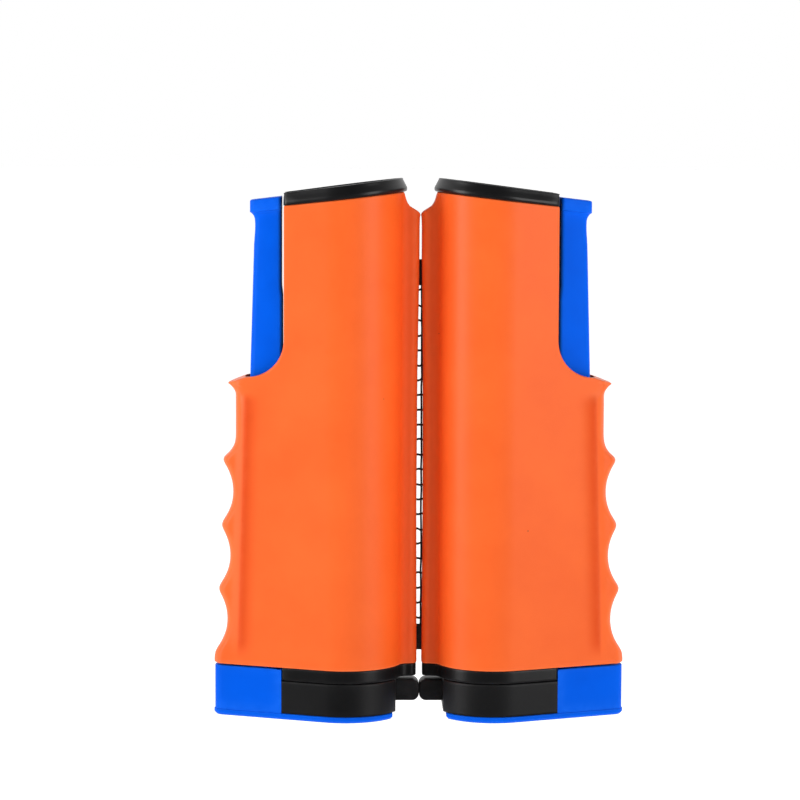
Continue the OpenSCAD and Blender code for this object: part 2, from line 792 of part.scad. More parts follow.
module net_web() {
    web_z = net_z + tape_w;
    web_h = net_h - 2 * tape_w;
    pitch = web_h / (level_cords + 1);
    color(BLACK) {
        for (i = [1 : level_cords])
            layer(web_z + i * pitch - cord_t / 2, web_z + i * pitch + cord_t / 2) net_plan(cord_t);
        for (x = [bend.x + 3 : pitch : rod_x - 3])
            translate([x, -cord_t / 2, web_z]) cube([cord_t, cord_t, web_h]);
    }
}

module top_net_tape() {
    color(BLACK) layer(net_top_z - tape_w, net_top_z) net_plan(tape_t);
}

module bottom_net_tape() {
    color(BLACK) layer(net_z, net_z + tape_w) net_plan(tape_t);
}

module net_anchor_rod() {
    color(STEEL) translate([rod_x, 0, shell_z + 0.2]) cylinder(r = rod_r, h = bulkhead_z + wall - shell_z);
}

// The left post's copies
module mirrored() {
    mirror([1, 0, 0]) children();
}

mirrored() front_shell(true);  // left_front_shell
mirrored() back_shell(true);  // left_back_shell
mirrored() top_cap();  // left_top_cap
mirrored() upper_jaw_plate();  // left_upper_jaw_plate
mirrored() clamp_slider();  // left_clamp_slider
mirrored() lower_jaw_pad();  // left_lower_jaw_pad
mirrored() clamp_spring();  // left_clamp_spring
mirrored() spring_seat();  // left_spring_seat
mirrored() shell_screws();  // left_shell_screws
mirrored() edge_screws();  // left_edge_screws
front_shell(false);  // right_front_shell
back_shell(false);  // right_back_shell
top_cap();  // right_top_cap
upper_jaw_plate();  // right_upper_jaw_plate
clamp_slider();  // right_clamp_slider
lower_jaw_pad();  // right_lower_jaw_pad
clamp_spring();  // right_clamp_spring
spring_seat();  // right_spring_seat
shell_screws();  // right_shell_screws
edge_screws();  // right_edge_screws
roller_shaft();
lower_shaft_bush();
upper_shaft_bush();
roller_tube();
lower_roller_plug();
upper_roller_plug();
return_spring();
wound_net();
net_web();
top_net_tape();
bottom_net_tape();
net_anchor_rod();
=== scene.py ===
import math

import bmesh
import bpy
import numpy as np
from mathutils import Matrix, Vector


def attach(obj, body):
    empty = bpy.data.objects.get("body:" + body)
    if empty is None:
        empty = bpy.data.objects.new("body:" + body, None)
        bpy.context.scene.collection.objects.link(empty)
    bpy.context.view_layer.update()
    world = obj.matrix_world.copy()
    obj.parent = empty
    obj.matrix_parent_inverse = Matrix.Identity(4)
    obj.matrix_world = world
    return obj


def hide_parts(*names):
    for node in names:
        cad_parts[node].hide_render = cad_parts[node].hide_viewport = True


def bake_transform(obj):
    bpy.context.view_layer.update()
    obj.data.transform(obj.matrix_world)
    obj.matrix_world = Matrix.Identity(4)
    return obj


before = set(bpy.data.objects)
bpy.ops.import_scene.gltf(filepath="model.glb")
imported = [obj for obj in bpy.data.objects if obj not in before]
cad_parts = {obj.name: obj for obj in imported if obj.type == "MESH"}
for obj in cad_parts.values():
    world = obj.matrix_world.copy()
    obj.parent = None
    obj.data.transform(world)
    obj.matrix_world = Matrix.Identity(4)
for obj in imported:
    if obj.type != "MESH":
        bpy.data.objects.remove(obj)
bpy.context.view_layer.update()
MM = 0.001


# --- Camera ------------
# A long lens a little over a metre in front of the posts and a hand's breadth over their middle, tipped down
# a few degrees, so that the uprights stay upright and only a sliver of the caps' tops shows.
eye, aim = Vector((-0.03, -1.0709, 0.2153)), Vector((-0.0075, 0.0, 0.1193))
lens = bpy.data.cameras.new("camera")
lens.lens, lens.sensor_width = 128.6, 36.0
camera = bpy.data.objects.new("camera", lens)
bpy.context.collection.objects.link(camera)
camera.location = eye
camera.rotation_euler = (aim - eye).to_track_quat("-Z", "Y").to_euler()
camera.rotation_euler.rotate_axis("Z", math.radians(0.22))
bpy.context.scene.camera = camera


# --- Studio ------------
# A plain white sweep, with a tall soft box on each side of the posts. The floor lies just under the lowest
# point that the feet reach when the jaws open.
FLOOR_Z = -0.0525


def new_material(name):
    """An empty node material, its node tree and its Principled shader."""
    material = bpy.data.materials.new(name)
    material.use_nodes = True
    tree = material.node_tree
    return material, tree, tree.nodes["Principled BSDF"]


def mesh_object(name, points, faces, material, smooth=True):
    """A mesh object from an array of points in millimetres and lists of corner numbers."""
    mesh = bpy.data.meshes.new(name)
    mesh.from_pydata((np.asarray(points, float) * MM).tolist(), [], [list(map(int, f)) for f in faces])
    mesh.materials.append(material)
    mesh.polygons.foreach_set("use_smooth", [smooth] * len(mesh.polygons))
    made = bpy.data.objects.new(name, mesh)
    bpy.context.collection.objects.link(made)
    return made


def feed(node, values):
    """Fills a node's inputs, by name or number, with numbers, colours or what other sockets say."""
    for key, value in values.items():
        if isinstance(value, bpy.types.NodeSocket):
            node.id_data.links.new(value, node.inputs[key])
        else:
            node.inputs[key].default_value = (*value, 1) if isinstance(value, tuple) else value
    return node.outputs


def eased(tree, value, from_range, to_range):
    """A number carried from one range to another along a smooth step."""
    node = tree.nodes.new("ShaderNodeMapRange")
    node.interpolation_type = "SMOOTHSTEP"
    ends = zip(("From Min", "From Max", "To Min", "To Max"), (*from_range, *to_range))
    return feed(node, {"Value": value, **dict(ends)})["Result"]


floor_white, _, floor_shader = new_material("floor_white")
feed(floor_shader, {
    "Base Color": (0.8, 0.8, 0.8), "Roughness": 0.9, "Specular IOR Level": 0.0,
    "Emission Color": (1, 1, 1), "Emission Strength": 0.6,
})
reach, floor_z = 30000.0, FLOOR_Z / MM
floor_corners = [[x * reach, y * reach, floor_z] for x, y in ((-1, -1), (1, -1), (1, 1), (-1, 1))]
floor = mesh_object("floor", floor_corners, [[0, 1, 2, 3]], floor_white, smooth=False)
floor.visible_glossy = False

# The sweep looks white wherever the camera meets it. What it lends as light is bright behind the posts and
# dim on the camera's side, as in a darkened studio.
world = bpy.data.worlds.new("white_sweep")
world.use_nodes = True
sky = world.node_tree
direction = sky.nodes.new("ShaderNodeSeparateXYZ")
feed(direction, {0: sky.nodes.new("ShaderNodeTexCoord").outputs["Generated"]})
seen = feed(sky.nodes.new("ShaderNodeMix"), {
    "Factor": sky.nodes.new("ShaderNodeLightPath").outputs["Is Camera Ray"],
    "A": eased(sky, direction.outputs["Y"], (-0.35, 0.45), (0.07, 1.1)), "B": 1.0,
})
feed(sky.nodes["Background"], {"Color": (1, 1, 1), "Strength": seen["Result"]})
bpy.context.scene.world = world
bpy.context.scene.view_settings.view_transform = "Standard"


def soft_box(name, place, size, watts):
    """A rectangular area light that faces the middle of the posts."""
    light = bpy.data.lights.new(name, "AREA")
    light.shape, light.size, light.size_y, light.energy = "RECTANGLE", size[0], size[1], watts
    lamp = bpy.data.objects.new(name, light)
    bpy.context.collection.objects.link(lamp)
    lamp.location = place
    lamp.rotation_euler = (Vector((0, 0, 0.1)) - Vector(place)).to_track_quat("-Z", "Y").to_euler()


soft_box("soft_box_left", (-1.24, -0.42, 0.35), (0.5, 1.3), 15.2)
soft_box("soft_box_right", (1.01, -0.82, 0.35), (0.6, 1.3), 11.0)


# --- Orange shells ------------
# Each post's housing is two halves moulded in satin orange plastic and screwed together from the back: a
# round barrel, a neck for the net, and a finger grip whose fin runs along the parting line. The well for the
# slider and the chamber for the roller are cut out of the outer form as the moulds' cores do.
SHELL_Z, WALL, NECK_HALF = 19.7, 2.2, 4.4
BARREL_X, BARREL_R, END_X, END_R = 27.8, 21.5, 72.5, 5.0
UPRIGHT_X, WELL_END_X, BULKHEAD_Z = 51.0, 65.6, 176.0
TAPER = math.asin((BARREL_R - END_R) / (END_X - BARREL_X))
SLANT = math.degrees(TAPER)
# The soft ridge along the fin: its line, how long it rises and falls across it, how proud it stands, and how
# far it leans outwards on its way down
RIDGE_X, RIDGE_RISE, RIDGE_FALL, RIDGE_PROUD, FIN_LEAN = 65.5, 5.5, 4.0, 0.9, 0.028


def top_z(x):
    """Height of the slanted top at a distance from the plane between the posts: a straight fall outwards."""
    return 192.4 + (UPRIGHT_X - x) * math.tan(math.radians(6.5))


def side_y(x, inset=0.0):
    """Half the post's width on its straight sides: the line that touches the barrel and the end circle."""
    return (BARREL_R - inset - (x - BARREL_X) * math.sin(TAPER)) / math.cos(TAPER)


def side_line(x, inset=0.0):
    """Points of the straight side of the front half, at some distances."""
    return np.stack([x, -side_y(x, inset)], 1)


def smooth_step(t):
    """0 below 0, 1 above 1, and 3 t^2 - 2 t^3 in between."""
    t = np.clip(t, 0.0, 1.0)
    return t * t * (3 - 2 * t)


def arc(centre, radius, start, stop, count):
    """Points on a circle between two angles in degrees, and the directions away from its centre."""
    a = np.radians(np.linspace(start, stop, count))
    away = np.stack([np.cos(a), np.sin(a)], 1)
    return np.asarray(centre) + radius * away, away


def barrel_arc(start, count, inset=0.0):
    """The barrel from an angle to where the straight side leaves it, as points and outward directions."""
    return arc((BARREL_X, 0), BARREL_R - inset, start, 270 + SLANT, count)


def neck_and_barrel(to_x):
    """Front half of the plan from the neck's tip to a distance on the straight side, with outward directions.

    In words: half the tip's flat, its rounded corner, a hollow fillet, the barrel and the straight side.
    """
    tip_r, fillet_x, fillet_y, fillet_r = 2.8, 3.866, 8.2, 3.8
    corner, corner_n = arc((0.8 + tip_r, tip_r - NECK_HALF), tip_r, 180, 270, 9)
    turn = math.degrees(math.atan2(fillet_y, BARREL_X - fillet_x))
    fillet, fillet_n = arc((fillet_x, -fillet_y), fillet_r, 90, turn, 18)
    barrel, barrel_n = barrel_arc(180 + turn, 46)
    side = side_line(np.linspace(barrel[-1, 0], to_x, 10)[1:])
    side_n = np.tile([math.sin(TAPER), -math.cos(TAPER)], (len(side), 1))
    points = np.concatenate([[[0.8, 0.0]], corner, fillet, barrel[1:], side])
    return points, np.concatenate([[[-1.0, 0.0]], corner_n, -fillet_n, barrel_n[1:], side_n])


def grip_profile():
    """The shells' outer edge seen from the front, as distances and heights from the base up to the throat.

    In words: at each height the edge is the least of the base's end, three finger circles, the hollow over
    the topmost ridge, the straight edge and the hollow under the lip. The shelf and the throat's arc follow.
    A Gaussian average along the line rounds the ridges and the lip.
    """
    base_x, straight_x, top_ridge_z, hollow_z, lip_z = 77.4, 69.1, 97.2, 105.7, 121.43
    (hollow_x, hollow_r), (lip_x, lip_r) = (78.0, 8.9), (73.6, 4.5)
    depth, pitch, lean = 4.55, 24.25, math.tan(math.radians(2.7))
    radius = ((pitch / 2) ** 2 + depth ** 2) / (2 * depth)
    z = np.arange(SHELL_Z, 125.75, 0.05)
    edge = np.full_like(z, base_x)
    for i in range(3):
        middle = top_ridge_z - (i + 0.5) * pitch
        strongest_painted_shade = 74.1 + (96.5 - middle) * lean - depth
        inside = np.abs(z - middle) < radius
        circle = strongest_painted_shade + radius - np.sqrt(np.where(inside, radius ** 2 - (z - middle) ** 2, 0.0))
        edge = np.where(inside, np.minimum(edge, circle), edge)
    hollow = hollow_x - np.sqrt(np.clip(hollow_r ** 2 - (z - hollow_z) ** 2, 0, None))
    edge = np.where((z > top_ridge_z) & (z < hollow_z), np.minimum(edge, hollow), edge)
    edge = np.where((z >= hollow_z) & (z < lip_z), straight_x, edge)
    lip = lip_x - np.sqrt(np.clip(lip_r ** 2 - (z - lip_z) ** 2, 0, None))
    edge = np.where(z >= lip_z, lip, edge)
    throat_r, shelf_z = 14.0, 128.5
    throat, _ = arc((UPRIGHT_X + throat_r, shelf_z + throat_r), throat_r, 270, 180, 300)
    line = np.concatenate([np.stack([edge, z], 1), [[72.4, 125.9], [65.0, shelf_z]], throat[1:]])
    run = np.concatenate([[0], np.cumsum(np.linalg.norm(np.diff(line, axis=0), axis=1))])
    step = 0.1
    even = np.arange(0, run[-1], step)
    line = np.stack([np.interp(even, run, line[:, k]) for k in (0, 1)], 1)

    def averaged(width):
        k = np.exp(-0.5 * (np.arange(-60, 61) * step / width) ** 2)
        padded = np.pad(line, ((60, 60), (0, 0)), mode="reflect", reflect_type="odd")
        return np.stack([np.convolve(padded[:, c], k / k.sum(), "valid") for c in (0, 1)], 1)

    sharp = smooth_step((line[:, 1] - 112) / 8)[:, None]
    return averaged(1.6) * (1 - sharp) + averaged(0.4) * sharp


def half_form():
    """Closed outer form of a front half, as points and faces, on the +X side.

    In words: a grid whose rows climb the grip's edge profile and then fan out to the slanted top, and whose
    columns follow the plan from the neck's tip round the barrel to the grip. Past the barrel each row's half
    width is the straight side. On the grip a soft ridge stands on it along the fin: it rises as a square and
    falls as a smooth step. Over the grip the width is drawn in towards the cut face, at the base it is the
    shells' rounded end, and a quarter ellipse rounds it off at the edge. A strip on the top, a strip on the
    bottom and one face along the parting line close the form.
    """
    profile = grip_profile()
    pick = np.unique(np.linspace(8, len(profile) - 1, 132).astype(int))
    low = np.concatenate([[[profile[0, 0], z] for z in (SHELL_Z, 19.75, 19.9, 20.15)], profile[pick]])
    up = np.linspace(0.04, 1, 14)
    rim = np.array([0.9, 0.5, 0.25, 0.08, 0.0])
    above = len(up) + len(rim)
    edge_x = np.concatenate([low[:, 0], np.full(above, UPRIGHT_X)])
    flat_z = np.concatenate([low[:, 1], np.full(above, low[-1, 1])])
    share = np.concatenate([np.zeros(len(low)), up, np.ones(len(rim))])
    drop = np.concatenate([np.zeros(len(low)), np.full(len(up), 1.4), rim])
    rim_r, far = 0.5, 9.0
    from_base = np.concatenate([low[:, 1] - SHELL_Z, np.full(above, far)])
    near_rim = np.minimum(from_base, np.where(share == 1, drop, far))
    inset = rim_r - np.sqrt(np.clip(rim_r ** 2 - np.clip(rim_r - near_rim, 0, None) ** 2, 0, None))
    rows = len(edge_x)

    barrel_end = 50.3
    plan, away = neck_and_barrel(barrel_end)
    barrel = plan - away * inset[:, None, None]

    # The slope of the edge tells whether a row ends on the fin or on the cut face of throat and shelf
    steep = np.concatenate([np.abs(np.gradient(low[:, 0], low[:, 1])), np.zeros(above)])
    on_fin = 1 - smooth_step((flat_z - 121.5) / 3.5)
    round_x = on_fin * 2.3 + (1 - on_fin) * np.clip(0.5 * (1 + steep), 0.5, 1.5)
    round_y = on_fin * 3.6 + (1 - on_fin) * 0.6
    middle = np.linspace(0, 1, 46)[1:]
    bend = np.radians(np.linspace(0, 90, 9)[1:])
    x_in = edge_x - inset
    x_b = (x_in - round_x)[:, None]
    gx = np.concatenate([barrel_end + (x_b - barrel_end) * middle, x_b + round_x[:, None] * np.sin(bend)], 1)

    z_row = np.where(share > 0, 200.0, flat_z)[:, None]
    from_line = gx - (RIDGE_X + np.clip(104.0 - z_row, -17, 80) * FIN_LEAN)
    ridge = np.clip((from_line + RIDGE_RISE) / RIDGE_RISE, 0, 1) ** 2
    ridge *= 1 - smooth_step(from_line / RIDGE_FALL)
    side, cut_x, base_half = side_y(gx), 68.6, 1.2
    over_grip = np.maximum(np.where(gx < cut_x, side, side - 0.9 * (gx - cut_x)), 2.0)
    on_grip = 1 - smooth_step((z_row - 118.5) / 4.5)
    width = (side + RIDGE_PROUD * ridge) * on_grip + over_grip * (1 - on_grip)
    end_past = np.clip((gx - END_X) / END_R, -0.999, 0.999)
    base = np.where(gx < END_X + END_R * math.sin(TAPER), side, END_R * np.sqrt(1 - end_past ** 2))
    at_base = 1 - smooth_step((z_row - 23.0) / 8.5)
    width = width * (1 - at_base) + np.maximum(base, base_half) * at_base
    ease = np.concatenate([np.zeros(len(middle)), 1 - np.cos(bend)])
    width = width - np.minimum(round_y[:, None], width - 0.35) * ease - inset[:, None]

    seam = -0.05
    x = np.concatenate([barrel[..., 0], gx, x_in[:, None]], 1)
    y = np.minimum(np.concatenate([barrel[..., 1], -width, np.zeros((rows, 1))], 1), seam)
    z = flat_z[:, None] + (scooped_top(x) - drop[:, None] - flat_z[:, None]) * share[:, None]
    # The necks lean together towards the top, where their noses meet
    nose = np.where(share[:, None] > 0.99, np.exp(-(((drop[:, None] - 0.5) / 0.9) ** 2)), 0.0)
    lean = np.interp(z, [SHELL_Z, 80.0, 130.0, 172.0, 186.0], [-0.1, -0.4, -0.22, 0.36, 0.38]) + 0.28 * nose
    x = x - lean * np.clip((4.2 - x) / 2.4, 0, 1)
    grid = np.stack([x, y, z], 2)
    columns = grid.shape[1]
    points = grid.reshape(-1, 3)
    number = np.arange(rows * columns).reshape(rows, columns)
    corners = [number[:-1, :-1], number[:-1, 1:], number[1:, 1:], number[1:, :-1]]
    faces = list(np.stack(corners, 2).reshape(-1, 4))
    # The strips on the bottom and the top run from the outline in to the parting line
    loops = []
    for row in (0, rows - 1):
        inner = grid[row, 2:-2].copy()
        inner[:, 1] = seam
        first = len(points)
        points = np.concatenate([points, inner])
        mid = np.concatenate([[number[row, 0]], first + np.arange(len(inner)), [number[row, -1]]])
        out = number[row, 1:-1]
        strip = [[out[j], out[j + 1], mid[j + 1], mid[j]] for j in range(len(out) - 1)]
        faces += [face[::-1] for face in strip] if row == 0 else strip
        loops.append(mid)
    bottom, top = loops
    faces.append([*number[:, 0], *top[1:], *number[::-1, -1][1:], *bottom[::-1][1:-1]])
    return points, faces


def scooped_top(x):
    """Height of the shells' top: the slanted line, and over the neck a bevelled nose that a soft hollow joins
    to a steep rise under the cap. The broken line's corners are eased by a Gaussian average."""
    along = np.arange(-2.0, 9.0, 0.05)
    line = np.interp(along, [-2.0, 0.37, 1.1, 2.55, 4.1, 5.2, 5.8, 6.2, 9.0],
                     [184.4, 188.8, 189.9, 191.0, 192.2, 193.8, 195.7, top_z(6.2), top_z(9.0)])
    k = np.exp(-0.5 * (np.arange(-30, 31) * 0.05 / 0.22) ** 2)
    line[30:-30] = np.convolve(line, k / k.sum(), "valid")
    return np.where(x < 8.0, np.interp(x, along, line), top_z(x))


def tube_faces(rows, columns, tubes=1):
    """Corner numbers of tubes through rings of points: their sides, and the faces that shut their ends."""
    number = np.arange(tubes * rows * columns).reshape(tubes, rows, columns)
    turned = np.roll(number, -1, axis=2)
    sides = np.stack([number[:, :-1], turned[:, :-1], turned[:, 1:], number[:, 1:]], 3).reshape(-1, 4)
    return [*sides], [*number[:, 0, ::-1], *number[:, -1]]


def carried(outline, axis, places):
    """A closed outline carried along an axis to each of some places, as rings of points."""
    return [np.insert(outline, axis, float(place), axis=1) for place in places]


def prism(outline, low, high, axis=2):
    """Closed straight block over a closed outline, as points and faces."""
    sides, ends = tube_faces(2, len(outline))
    return np.concatenate(carried(outline, axis, (low, high))), sides + ends


def rod_along_y(x, z, from_y, to_y, radius):
    """Closed cylinder along Y, as points and faces."""
    return prism(arc((x, z), radius, 0, 360, 41)[0][:-1], from_y, to_y, axis=1)


def mirrored_loop(front):
    """A closed outline from its front half, whose ends lie on the middle line or end a flat."""
    back = front[::-1] * [1, -1]
    keep = np.abs(back[:, 1]) > 1e-6
    return np.concatenate([front, back[keep]])


def ended(from_x, to_x, inset, corner_r, count=8):
    """Front half of the plan between two distances on the straight sides, with a rounded outer corner."""
    middle = (to_x - corner_r, -side_y(to_x - corner_r, inset + corner_r))
    corner, _ = arc(middle, corner_r, SLANT - 90, 0, count)
    return np.concatenate([[[from_x, -side_y(from_x, inset)]], corner])


def points_of(mesh):
    """Where a mesh's points lie, in metres."""
    points = np.empty(len(mesh.vertices) * 3)
    mesh.vertices.foreach_get("co", points)
    return points.reshape(-1, 3)


def taken(piece):
    """Points in millimetres and faces of a mesh object, which is removed."""
    points, faces = points_of(piece.data) / MM, [list(f.vertices) for f in piece.data.polygons]
    bpy.data.objects.remove(piece)
    return points, faces


def turn_outwards(piece):
    """Makes the faces of a closed piece agree with each other and look outwards."""
    work = bmesh.new()
    work.from_mesh(piece.data)
    bmesh.ops.recalc_face_normals(work, faces=work.faces)
    if work.calc_volume(signed=True) < 0:
        bmesh.ops.reverse_faces(work, faces=work.faces)
    work.to_mesh(piece.data)
    work.free()


def cut(target, kind, points, faces):
    """Applies one Boolean of a closed tool to a mesh object, and removes the tool."""
    tool = mesh_object("tool", points, faces, target.data.materials[0], smooth=False)
    turn_outwards(tool)
    turn_outwards(target)
    step = target.modifiers.new("cut", "BOOLEAN")
    step.operation, step.solver, step.object = kind, "MANIFOLD", tool
    done = bpy.data.meshes.new_from_object(target.evaluated_get(bpy.context.evaluated_depsgraph_get()))
    target.modifiers.clear()
    old, target.data = target.data, done
    bpy.data.meshes.remove(old)
    bpy.data.objects.remove(tool)


def mirrored_copy(name, source, flip_x=False, flip_y=False):
    """A copy of a piece mirrored in X, in Y or in both, with its faces turned back outwards where needed."""
    mesh = source.data.copy()
    mesh.name = name
    points = points_of(mesh) * [-1 if flip_x else 1, -1 if flip_y else 1, 1]
    mesh.vertices.foreach_set("co", points.ravel())
    if flip_x != flip_y:
        mesh.flip_normals()
    made = bpy.data.objects.new(name, mesh)
    bpy.context.collection.objects.link(made)
    return made


def finish_piece(piece, angle=38.0):
    """Merges doubles, shades smooth but for edges sharper than an angle, and writes the rub mask, which pales
    edges as wear and as a painted highlight.

    The mask is how far the faces beside a point turn away from each other, averaged over its neighbours.
    """
    mesh = piece.data
    work = bmesh.new()
    work.from_mesh(mesh)
    bmesh.ops.remove_doubles(work, verts=work.verts, dist=2e-6)
    bmesh.ops.dissolve_degenerate(work, edges=work.edges, dist=1e-6)
    for face in work.faces:
        face.smooth = True
    turned = np.zeros(len(work.verts))
    work.verts.index_update()
    for edge in work.edges:
        if len(edge.link_faces) == 2:
            bent = edge.calc_face_angle(0.0)
            edge.smooth = bent < math.radians(angle)
            for v in edge.verts:
                turned[v.index] = max(turned[v.index], min(bent, 1.2))
    work.to_mesh(mesh)
    ends = np.array([[v.index for v in e.verts] for e in work.edges]).reshape(-1, 2)
    work.free()
    count = np.bincount(ends.ravel(), minlength=len(turned)) + 1
    for _ in range(2):
        spread = turned + np.bincount(ends[:, 0], turned[ends[:, 1]], len(turned))
        turned = (spread + np.bincount(ends[:, 1], turned[ends[:, 0]], len(turned))) / count
    mask = mesh.attributes.get("rub_and_highlight") or mesh.attributes.new("rub_and_highlight", "FLOAT", "POINT")
    mask.data.foreach_set("value", np.clip(turned / 0.5, 0, 1).astype(np.float32))
    mesh.update()


def shader_group(name, inputs, outputs):
    """A node group with named number inputs and named outputs."""
    group = bpy.data.node_groups.new(name, "ShaderNodeTree")
    for socket, value in inputs.items():
        made = group.interface.new_socket(socket, in_out="INPUT", socket_type="NodeSocketFloat")
        made.default_value = value
    for socket in outputs:
        group.interface.new_socket(socket, in_out="OUTPUT", socket_type="NodeSocketFloat")
    return group, group.nodes.new("NodeGroupInput").outputs, group.nodes.new("NodeGroupOutput")


def maths(tree, kind, *values, clamp=False):
    """A maths node on numbers or sockets."""
    node = tree.nodes.new("ShaderNodeMath")
    node.operation, node.use_clamp = kind, clamp
    return feed(node, dict(enumerate(values)))[0]


def times(tree, *values):
    """The product of numbers or sockets."""
    product = values[0]
    for value in values[1:]:
        product = maths(tree, "MULTIPLY", product, value)
    return product


def own_place(tree):
    """Where a point lies in its own object."""
    return tree.nodes.new("ShaderNodeTexCoord").outputs["Object"]


def noise(tree, scale, detail):
    """A noise texture at a scale, which is a number or a socket."""
    node = tree.nodes.new("ShaderNodeTexNoise")
    return feed(node, {"Vector": own_place(tree), "Scale": scale, "Detail": detail})["Fac"]


# Moulded skin: the spark-eroded mould's fine grain and the melt's slow flow waves as a height, blotches of
# tone, and rare dark specks
skin, skin_in, skin_out = shader_group(
    "moulded_skin", {"Grain size mm": 0.35, "Wave": 0.5}, ["Height", "Tone", "Speck"]
)
grain = noise(skin, maths(skin, "DIVIDE", 1000.0, skin_in["Grain size mm"]), 2.0)
tone = noise(skin, 45.0, 3.0)
specks = feed(skin.nodes.new("ShaderNodeTexVoronoi"), {"Vector": own_place(skin), "Scale": 55.0})
lot = feed(skin.nodes.new("ShaderNodeSeparateColor"), {"Color": specks["Color"]})["Red"]
small_and_rare = times(
    skin, maths(skin, "LESS_THAN", specks["Distance"], 0.012), maths(skin, "LESS_THAN", lot, 0.45)
)
height = maths(skin, "ADD", grain, times(skin, tone, skin_in["Wave"]))
feed(skin_out, {"Height": height, "Tone": tone, "Speck": small_and_rare})

# Edge rub: the rub mask broken up by noise, so that handled edges look polished in patches; the paler colour
# it gives the edges is partly wear and partly a painted highlight along the rims
rub_and_highlight, rub_and_highlight_in, rub_and_highlight_out = shader_group("edge_rub", {"Amount": 1.0}, ["Mask"])
mask = rub_and_highlight.nodes.new("ShaderNodeAttribute")
mask.attribute_name = "rub_and_highlight"
worn = times(rub_and_highlight, mask.outputs["Fac"], times(rub_and_highlight, noise(rub_and_highlight, 380.0, 3.0), 1.6))
feed(rub_and_highlight_out, {"Mask": maths(rub_and_highlight, "MULTIPLY", worn, rub_and_highlight_in["Amount"], clamp=True)})

# Painted shade: the colour is darkened where the neck meets the barrel and in the groove along the fin,
# standing in for the shade that falls in these hollows
painted_shade_group, painted_shade_in, painted_shade_out = shader_group("hollow_shade", {"Amount": 1.0}, ["Mask"])
x, _, z = feed(painted_shade_group.nodes.new("ShaderNodeSeparateXYZ"), {0: own_place(painted_shade_group)})
beside = maths(painted_shade_group, "ABSOLUTE", x)


def bell(centre, inner, outer):
    """e to the minus square of the distance from a line, in widths that differ inside and outside it."""
    away = maths(painted_shade_group, "SUBTRACT", beside, centre)
    width = maths(painted_shade_group, "MULTIPLY_ADD", maths(painted_shade_group, "GREATER_THAN", away, 0.0), outer - inner, inner)
    share = maths(painted_shade_group, "DIVIDE", away, width)
    return maths(painted_shade_group, "EXPONENT", times(painted_shade_group, share, share, -1.0))


groove = times(
    painted_shade_group, bell(maths(painted_shade_group, "MULTIPLY_ADD", z, -FIN_LEAN, 0.0685), 0.0036, 0.0008),
    eased(painted_shade_group, z, (0.1235, 0.1185), (0.0, 0.78)), eased(painted_shade_group, z, (0.021, 0.029), (0.0, 1.0)),
)
strongest_painted_shade = maths(painted_shade_group, "MAXIMUM", groove, times(painted_shade_group, bell(0.0054, 0.0045, 0.0038), 0.52))
feed(painted_shade_out, {"Mask": maths(painted_shade_group, "MULTIPLY", strongest_painted_shade, painted_shade_in["Amount"], clamp=True)})


def placed(tree, group, values):
    """The outputs of a group that is given its own values."""
    node = tree.nodes.new("ShaderNodeGroup")
    node.node_tree = group
    return feed(node, values)


def ramp(tree, factor, *stops):
    """A colour ramp from a factor: (place, colour) stops."""
    node = tree.nodes.new("ShaderNodeValToRGB")
    for mark, (at, colour) in zip(node.color_ramp.elements, stops):
        mark.position, mark.color = at, (*colour, 1)
    return feed(node, {"Fac": factor})["Color"]


def mixed(tree, factor, a, b):
    """Two colours mixed by a factor; each is a socket or a colour."""
    node = tree.nodes.new("ShaderNodeMix")
    node.data_type = "RGBA"
    return feed(node, {"Factor": factor, 6: a, 7: b})[2]


def relief(tree, height, strength, depth):
    """The normal of a surface that a height bumps; the depth is in metres."""
    node = tree.nodes.new("ShaderNodeBump")
    return feed(node, {"Strength": strength, "Distance": depth, "Height": height})["Normal"]


def moulded_plastic(
    name, dark, light, edge, roughness, grain_mm, wave, bump, rubbed_and_highlit, specular=0.5, speck=None, painted_shade_colour=None
):
    """Moulded plastic: two tones in slow blotches, painted shade in the hollows, edges paled both by wear and
    as a painted highlight, specks and grain.
    """
    material, tree, shader = new_material(name)
    surface = placed(tree, skin, {"Grain size mm": grain_mm, "Wave": wave})
    edges = placed(tree, rub_and_highlight, {"Amount": rubbed_and_highlit})["Mask"]
    colour = ramp(tree, surface["Tone"], (0.32, dark), (0.68, light))
    gloss = maths(tree, "ADD", times(tree, surface["Tone"], 0.12), roughness - 0.06)
    gloss = maths(tree, "SUBTRACT", gloss, times(tree, edges, 0.08), clamp=True)
    # Painted shade: the neck's hollow and the fin's groove are darkened towards a shade colour, and made
    # rougher
    if painted_shade_colour:
        shade = placed(tree, painted_shade_group, {"Amount": 1.0})["Mask"]
        colour = mixed(tree, shade, colour, painted_shade_colour)
        gloss = maths(tree, "ADD", gloss, times(tree, shade, 0.35), clamp=True)
    # Edges paled partly by wear and partly as a painted highlight along the rims
    colour = mixed(tree, edges, colour, edge)
    if speck:
        colour = mixed(tree, surface["Speck"], colour, speck)
    feed(shader, {
        "Base Color": colour, "Roughness": gloss, "Specular IOR Level": specular,
        "Normal": relief(tree, surface["Height"], bump, 0.00006),
    })
    return material


